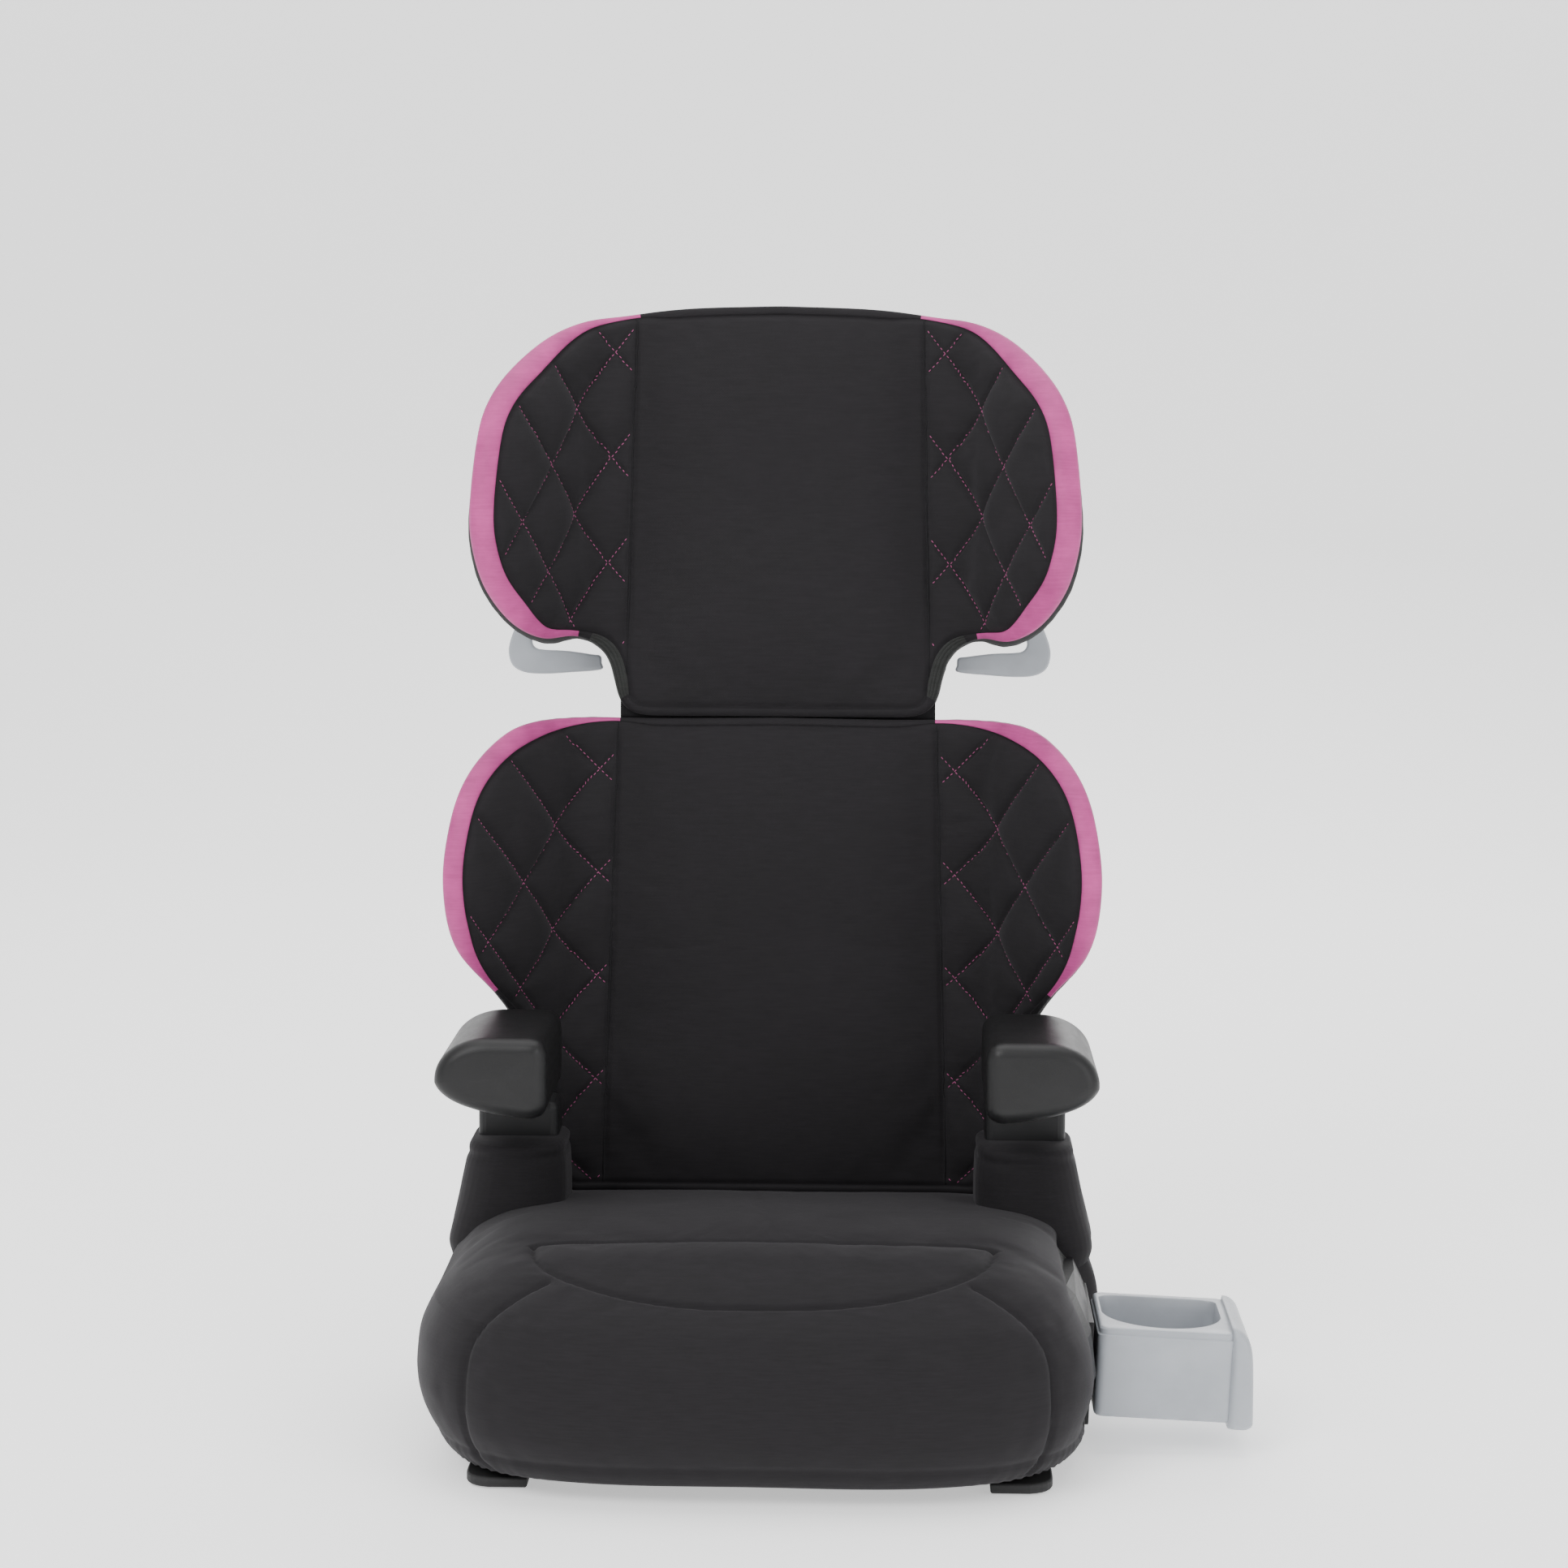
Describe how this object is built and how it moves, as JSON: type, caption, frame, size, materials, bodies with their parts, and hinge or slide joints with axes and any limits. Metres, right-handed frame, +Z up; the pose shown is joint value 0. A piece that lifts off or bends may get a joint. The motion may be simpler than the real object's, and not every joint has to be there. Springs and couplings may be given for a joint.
{
  "type": "booster seat",
  "caption": "High-back belt-positioning booster seat with a padded base, winged back, height-adjustable winged headrest, arm rests, open belt guides and a pull-out cup holder.",
  "frame": {"origin": "on the ground, at the middle of the flat skid under the base", "axes": "+Z up; the seat faces -Y; +X is on the viewer's right when the seat is seen from the front, the side of the cup holder; the back leans 6 degrees rearwards at rest"},
  "size_m": [0.5072, 0.445, 0.6896],
  "materials": {
    "fabric": "matt black knitted fabric with pink rim panels and pink quilting thread",
    "foam": "open-cell foam, hidden under the covers",
    "black_plastic": "satin black moulded plastic",
    "grained_plastic": "black moulded plastic with a fine grain",
    "grey_plastic": "light grey moulded plastic",
    "rubber": "black rubber",
    "steel": "zinc-plated steel"
  },
  "bodies": {
    "base": {"base_shell": "black_plastic", "base_underpan": "black_plastic", "seat_foam": "foam", "seat_cover": "fabric", "hip_pad_left": "fabric", "hip_pad_right": "fabric", "arm_cap_left": "grained_plastic", "arm_cap_right": "grained_plastic", "arm_screw_left": "steel", "arm_screw_right": "steel", "hinge_pin_left": "steel", "hinge_pin_right": "steel", "foot_front_left": "rubber", "foot_front_right": "rubber", "foot_rear_left": "rubber", "foot_rear_right": "rubber", "underpan_screw_1": "steel", "underpan_screw_2": "steel", "underpan_screw_3": "steel", "underpan_screw_4": "steel", "drawer_channel": "black_plastic", "channel_screw_1": "steel", "channel_screw_2": "steel", "channel_screw_3": "steel", "channel_screw_4": "steel"},
    "drawer": {"cup_holder": "grey_plastic"},
    "back": {"back_shell": "black_plastic", "back_rear_plate": "black_plastic", "back_foam": "foam", "back_wing_foam_left": "foam", "back_wing_foam_right": "foam", "back_cover": "fabric", "rear_plate_screw_1": "steel", "rear_plate_screw_2": "steel", "rear_plate_screw_3": "steel", "rear_plate_screw_4": "steel"},
    "headrest": {"headrest_shell": "black_plastic", "headrest_carriage": "black_plastic", "headrest_foam": "foam", "headrest_wing_foam_left": "foam", "headrest_wing_foam_right": "foam", "headrest_cover": "fabric", "belt_guide_left": "grey_plastic", "belt_guide_right": "grey_plastic", "latch_spring": "steel", "carriage_screw_1": "steel", "carriage_screw_2": "steel", "carriage_screw_3": "steel", "carriage_screw_4": "steel", "guide_screw_left_1": "steel", "guide_screw_left_2": "steel", "guide_screw_right_1": "steel", "guide_screw_right_2": "steel"},
    "handle": {"release_handle": "grey_plastic", "release_rod": "steel"},
    "latch": {"latch_bolt": "grey_plastic"}
  },
  "joints": [
    {"name": "back_recline", "type": "hinge", "parent": "base", "child": "back", "pos_m": [0, 0.16, 0.058], "axis": [-1, 0, 0], "range_deg": [0, 12]},
    {"name": "headrest_slide", "type": "slide", "parent": "back", "child": "headrest", "axis": [0, 0.1045, 0.9945], "range_m": [0, 0.171]},
    {"name": "handle_pull", "type": "slide", "parent": "headrest", "child": "handle", "axis": [0, 0.1045, 0.9945], "range_m": [0, 0.008], "stiffness_N_per_m": 800},
    {"name": "latch_retract", "type": "slide", "parent": "headrest", "child": "latch", "axis": [0, -0.9945, 0.1045], "range_m": [0, 0.004]},
    {"name": "drawer_slide", "type": "slide", "parent": "base", "child": "drawer", "axis": [0.999, 0, -0.0436], "range_m": [-0.083, 0]}
  ],
  "couplings": [
    {"joint": "latch_retract", "follows": "handle_pull", "ratio": 0.5}
  ]
}
